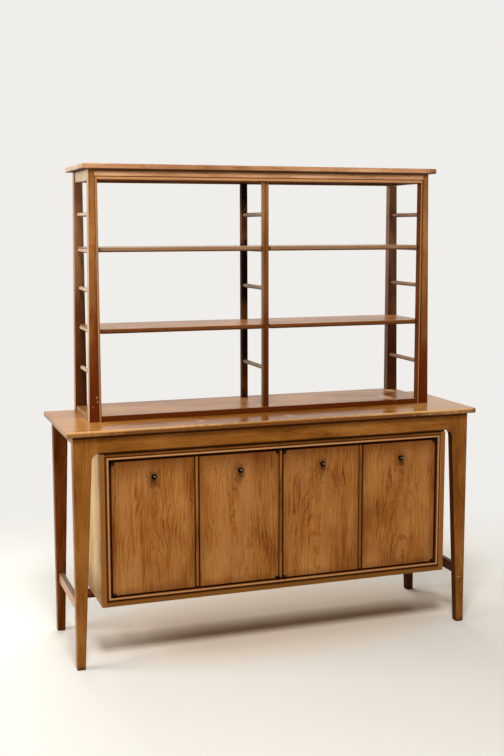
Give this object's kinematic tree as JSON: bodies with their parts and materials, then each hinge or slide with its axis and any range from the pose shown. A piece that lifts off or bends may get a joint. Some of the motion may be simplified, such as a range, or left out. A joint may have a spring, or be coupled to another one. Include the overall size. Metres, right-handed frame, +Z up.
{
  "type": "dresser with hutch",
  "caption": "Long sideboard with flat doors in a beaded frame, hung in an open tapered leg frame, under an open hutch of posts, ladder rungs and shelves.",
  "frame": {"origin": "on the floor, in the middle of the base top's length and depth", "axes": "+Z up, -Y out of the doors, +X to the right as seen from the front"},
  "size_m": [1.48, 0.454, 1.6535],
  "materials": {
    "frame_wood": "satin oiled hardwood of the leg frame, mid brown",
    "top_wood": "satin base top, a lighter warm brown with soft reflections",
    "case_wood": "satin case panels and door strips, mid brown",
    "bead_wood": "satin bead moulding, worn lighter on its round",
    "door_veneer": "satin door veneer with upright cathedral grain",
    "hutch_wood": "satin hutch posts, rails, rungs and top",
    "shelf_wood": "satin shelves and hutch board",
    "inner_wood": "plain unpolished wood inside the case",
    "dark_metal": "dark antique metal knobs and hinges, worn bright on their rounds"
  },
  "bodies": {
    "carcass": {"base_top": "top_wood", "front_apron": "frame_wood", "rear_apron": "frame_wood", "cross_slat": "frame_wood", "side_rail_left": "frame_wood", "leg_front_left": "frame_wood", "leg_rear_left": "frame_wood", "stretcher_left": "frame_wood", "case_side_left": "case_wood", "mullion_left": "case_wood", "post_front_left": "hutch_wood", "post_rear_left": "hutch_wood", "hutch_side_rail_left": "hutch_wood", "rung_left_1": "hutch_wood", "rung_left_2": "hutch_wood", "rung_left_3": "hutch_wood", "rung_left_4": "hutch_wood", "rung_left_5": "hutch_wood", "side_rail_right": "frame_wood", "leg_front_right": "frame_wood", "leg_rear_right": "frame_wood", "stretcher_right": "frame_wood", "case_side_right": "case_wood", "mullion_right": "case_wood", "post_front_right": "hutch_wood", "post_rear_right": "hutch_wood", "hutch_side_rail_right": "hutch_wood", "rung_right_1": "hutch_wood", "rung_right_2": "hutch_wood", "rung_right_3": "hutch_wood", "rung_right_4": "hutch_wood", "rung_right_5": "hutch_wood", "case_top": "case_wood", "case_bottom": "case_wood", "case_back": "inner_wood", "case_partition": "inner_wood", "bead_frame": "bead_wood", "frieze_rail": "hutch_wood", "rear_rail": "hutch_wood", "hutch_top": "hutch_wood", "centre_ladder": "hutch_wood", "hutch_board": "shelf_wood", "shelf_lower": "shelf_wood", "shelf_upper": "shelf_wood"},
    "door_outer_left": {"door_outer_left": "door_veneer", "knob_outer_left": "dark_metal", "hinge_outer_left_top": "dark_metal", "hinge_outer_left_low": "dark_metal"},
    "door_inner_left": {"door_inner_left": "door_veneer", "knob_inner_left": "dark_metal", "hinge_inner_left_top": "dark_metal", "hinge_inner_left_low": "dark_metal"},
    "door_inner_right": {"door_inner_right": "door_veneer", "knob_inner_right": "dark_metal", "hinge_inner_right_top": "dark_metal", "hinge_inner_right_low": "dark_metal"},
    "door_outer_right": {"door_outer_right": "door_veneer", "knob_outer_right": "dark_metal", "hinge_outer_right_top": "dark_metal", "hinge_outer_right_low": "dark_metal"}
  },
  "joints": [
    {"name": "outer_left_swing", "type": "hinge", "parent": "carcass", "child": "door_outer_left", "pos_m": [-0.5885, -0.2, 0.4635], "axis": [0, 0, -1], "range_deg": [0, 120]},
    {"name": "inner_left_swing", "type": "hinge", "parent": "carcass", "child": "door_inner_left", "pos_m": [-0.0125, -0.2, 0.4635], "axis": [0, 0, 1], "range_deg": [0, 80]},
    {"name": "inner_right_swing", "type": "hinge", "parent": "carcass", "child": "door_inner_right", "pos_m": [0.0125, -0.2, 0.4635], "axis": [0, 0, -1], "range_deg": [0, 80]},
    {"name": "outer_right_swing", "type": "hinge", "parent": "carcass", "child": "door_outer_right", "pos_m": [0.5885, -0.2, 0.4635], "axis": [0, 0, 1], "range_deg": [0, 120]}
  ]
}
